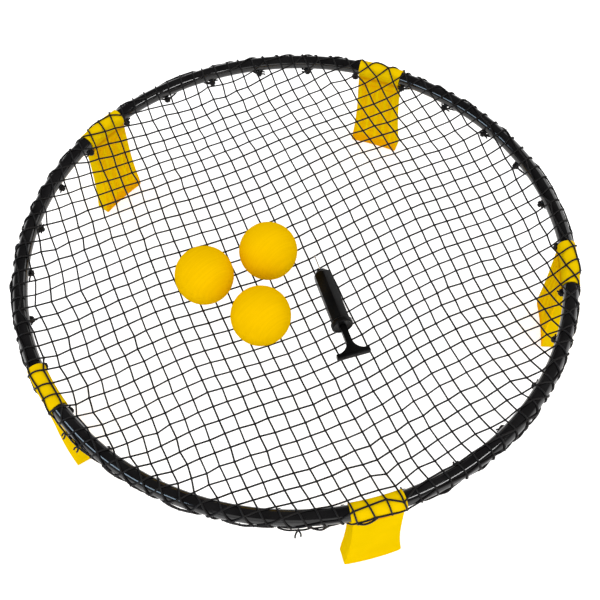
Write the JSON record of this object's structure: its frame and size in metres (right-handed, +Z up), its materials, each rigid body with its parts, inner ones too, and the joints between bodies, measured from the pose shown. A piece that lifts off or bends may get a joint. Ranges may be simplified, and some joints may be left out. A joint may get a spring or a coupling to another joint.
{
  "type": "round-net game set",
  "caption": "Low round rim on legs with a square-mesh net stretched over it, with rubber balls and a hand pump lying on the net.",
  "frame": {"origin": "centre of the rim, on the floor that the legs stand on", "axes": "+Z up; +X towards the middle of leg_1, with the legs counted anticlockwise from above"},
  "size_m": [0.9227, 0.9232, 0.2963],
  "materials": {
    "rim_plastic": "satin to gloss black moulded tube",
    "leg_plastic": "satin yellow moulding",
    "hook_plastic": "matt black",
    "net_cord": "twisted black nylon cord",
    "ball_rubber": "smooth matt yellow rubber",
    "valve_rubber": "matt rubber",
    "pump_plastic": "satin black moulding",
    "needle_metal": "bright plated steel",
    "seal_rubber": "matt rubber"
  },
  "bodies": {
    "frame": {"rim_tube_1": "rim_plastic", "rim_tube_2": "rim_plastic", "rim_tube_3": "rim_plastic", "rim_tube_4": "rim_plastic", "rim_tube_5": "rim_plastic", "leg_1": "leg_plastic", "leg_2": "leg_plastic", "leg_3": "leg_plastic", "leg_4": "leg_plastic", "leg_5": "leg_plastic", "net_hooks_1": "hook_plastic", "net_hooks_2": "hook_plastic", "net_hooks_3": "hook_plastic", "net_hooks_4": "hook_plastic", "net_hooks_5": "hook_plastic", "net": "net_cord"},
    "ball_a": {"ball_1": "ball_rubber", "ball_valve_1": "valve_rubber"},
    "ball_b": {"ball_2": "ball_rubber", "ball_valve_2": "valve_rubber"},
    "ball_c": {"ball_3": "ball_rubber", "ball_valve_3": "valve_rubber"},
    "pump": {"pump_barrel": "pump_plastic", "pump_cap": "pump_plastic", "pump_needle": "needle_metal"},
    "plunger": {"pump_plunger": "pump_plastic", "pump_piston": "pump_plastic", "pump_cup_seal": "seal_rubber"}
  },
  "joints": [
    {"name": "ball_a_lift", "type": "slide", "parent": "frame", "child": "ball_a", "axis": [0, 0, 1], "range_m": [0, 0.15]},
    {"name": "ball_b_lift", "type": "slide", "parent": "frame", "child": "ball_b", "axis": [0, 0, 1], "range_m": [0, 0.15]},
    {"name": "ball_c_lift", "type": "slide", "parent": "frame", "child": "ball_c", "axis": [0, 0, 1], "range_m": [0, 0.15]},
    {"name": "pump_lift", "type": "slide", "parent": "frame", "child": "pump", "axis": [0, 0, 1], "range_m": [0, 0.15]},
    {"name": "plunger_slide", "type": "slide", "parent": "pump", "child": "plunger", "axis": [0.3417, -0.9389, 0.0401], "range_m": [0, 0.08]}
  ]
}
